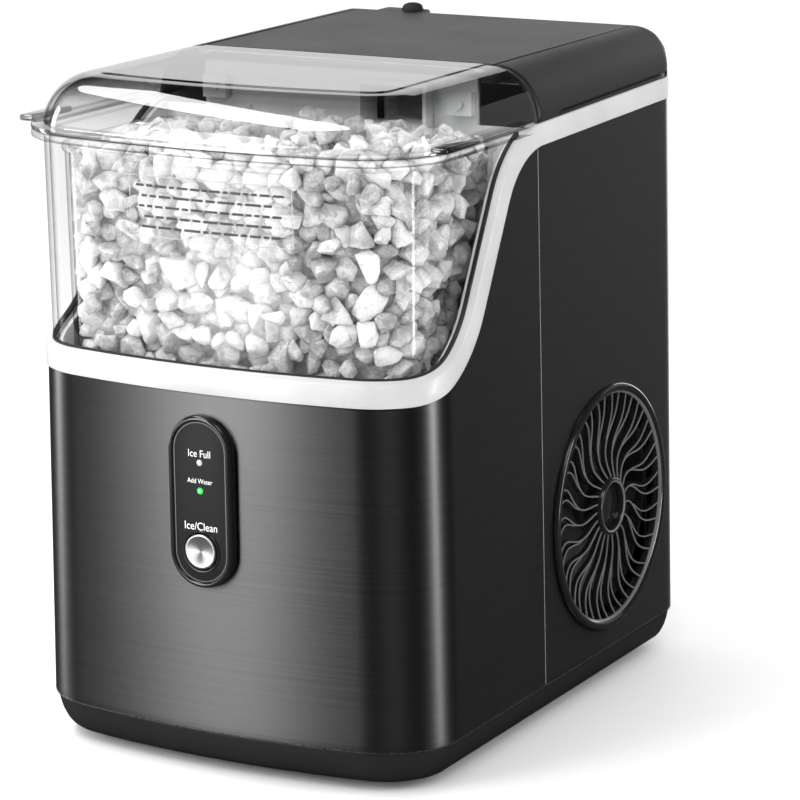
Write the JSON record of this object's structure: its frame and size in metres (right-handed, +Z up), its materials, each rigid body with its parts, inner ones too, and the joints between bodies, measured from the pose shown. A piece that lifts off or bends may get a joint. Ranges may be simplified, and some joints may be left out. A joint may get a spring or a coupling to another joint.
{
  "type": "countertop ice maker",
  "caption": "Countertop nugget ice maker with a curved clear front window, hinged clear lid, lift-out ice basket, front control panel and side fan grille.",
  "frame": {"origin": "on the surface the feet stand on, under the middle of the outer box in plan", "axes": "+X to the machine's right-hand side as seen from the front, +Y towards its rear panel, +Z up"},
  "size_m": [0.2434, 0.327, 0.347],
  "materials": {
    "black_steel": "brushed, satin black",
    "black_plastic": "satin moulded",
    "white_plastic": "satin white",
    "clear_plastic": "clear, glossy",
    "rubber": "matte",
    "steel": "plain",
    "black_enamel": "semi-gloss",
    "copper": "bare copper",
    "foam": "closed-cell foam",
    "circuit_board": "solder resist",
    "green_lens": "translucent",
    "grey_lens": "translucent",
    "gear_plastic": "moulded"
  },
  "bodies": {
    "housing": {"add_water_light_lens": "green_lens", "auger_motor": "steel", "barrel_insulation": "foam", "base_tray": "black_plastic", "bin_liner": "white_plastic", "button_switch": "black_plastic", "compressor": "black_enamel", "condenser": "steel", "control_bezel": "black_plastic", "control_board": "circuit_board", "control_face": "black_plastic", "discharge_tube": "copper", "drain_hose": "grey_lens", "drain_outlet": "black_plastic", "fan_motor": "black_plastic", "fan_shroud": "black_plastic", "float_stem": "white_plastic", "foot_front_left": "rubber", "foot_front_right": "rubber", "foot_rear_left": "rubber", "foot_rear_right": "rubber", "freezing_barrel": "steel", "front_window": "clear_plastic", "front_wrap_panel": "black_steel", "gearbox_cover": "steel", "gearbox_housing": "black_plastic", "ice_chute": "white_plastic", "ice_full_light_lens": "grey_lens", "ice_full_sensor_left": "black_plastic", "ice_full_sensor_right": "black_plastic", "ice_outlet_head": "white_plastic", "left_side_panel": "black_steel", "lid_hinge_pin_left": "steel", "lid_hinge_pin_right": "steel", "power_cord_gland": "black_plastic", "rear_panel": "black_plastic", "rear_screw_lower_left": "steel", "rear_screw_lower_right": "steel", "rear_screw_upper_left": "steel", "rear_screw_upper_right": "steel", "rear_top_cover": "black_plastic", "right_side_panel": "black_steel", "side_fan_grille": "black_plastic", "suction_tube": "copper", "trim_band": "white_plastic", "water_feed_tube": "clear_plastic", "water_pump": "black_plastic", "water_tank": "white_plastic", "window_seal": "rubber"},
    "lid": {"lid": "clear_plastic"},
    "basket": {"ice_basket": "clear_plastic"},
    "button": {"power_button": "steel"},
    "fan": {"condenser_fan": "black_plastic"},
    "auger": {"auger": "steel", "auger_drive_gear": "gear_plastic"},
    "pinion": {"motor_pinion": "gear_plastic"},
    "hose_cap": {"drain_cap": "rubber"},
    "float": {"water_float": "grey_lens"}
  },
  "joints": [
    {"name": "lid_hinge", "type": "hinge", "parent": "housing", "child": "lid", "pos_m": [0, -0.0185, 0.3397], "axis": [-1, 0, 0], "range_deg": [0, 95]},
    {"name": "basket_lift", "type": "slide", "parent": "housing", "child": "basket", "axis": [0, 0, 1], "range_m": [0, 0.012]},
    {"name": "power_button_push", "type": "slide", "parent": "housing", "child": "button", "axis": [0, 1, 0], "range_m": [0, 0.0014], "stiffness_N_per_m": 800},
    {"name": "condenser_fan_spin", "type": "hinge", "parent": "housing", "child": "fan", "pos_m": [0.102, 0.061, 0.0998], "axis": [1, 0, 0], "continuous": true},
    {"name": "auger_spin", "type": "hinge", "parent": "housing", "child": "auger", "pos_m": [0.035, 0.0155, 0.1], "axis": [0, 0, 1], "continuous": true},
    {"name": "motor_pinion_spin", "type": "hinge", "parent": "housing", "child": "pinion", "pos_m": [0.002, 0.0155, 0.075], "axis": [0, 0, 1], "continuous": true},
    {"name": "drain_cap_pull", "type": "slide", "parent": "housing", "child": "hose_cap", "axis": [0, 0, 1], "range_m": [0, 0.02]},
    {"name": "water_float_rise", "type": "slide", "parent": "housing", "child": "float", "axis": [0, 0, 1], "range_m": [0, 0.038]}
  ],
  "couplings": [
    {"joint": "motor_pinion_spin", "follows": "auger_spin", "ratio": -3}
  ]
}
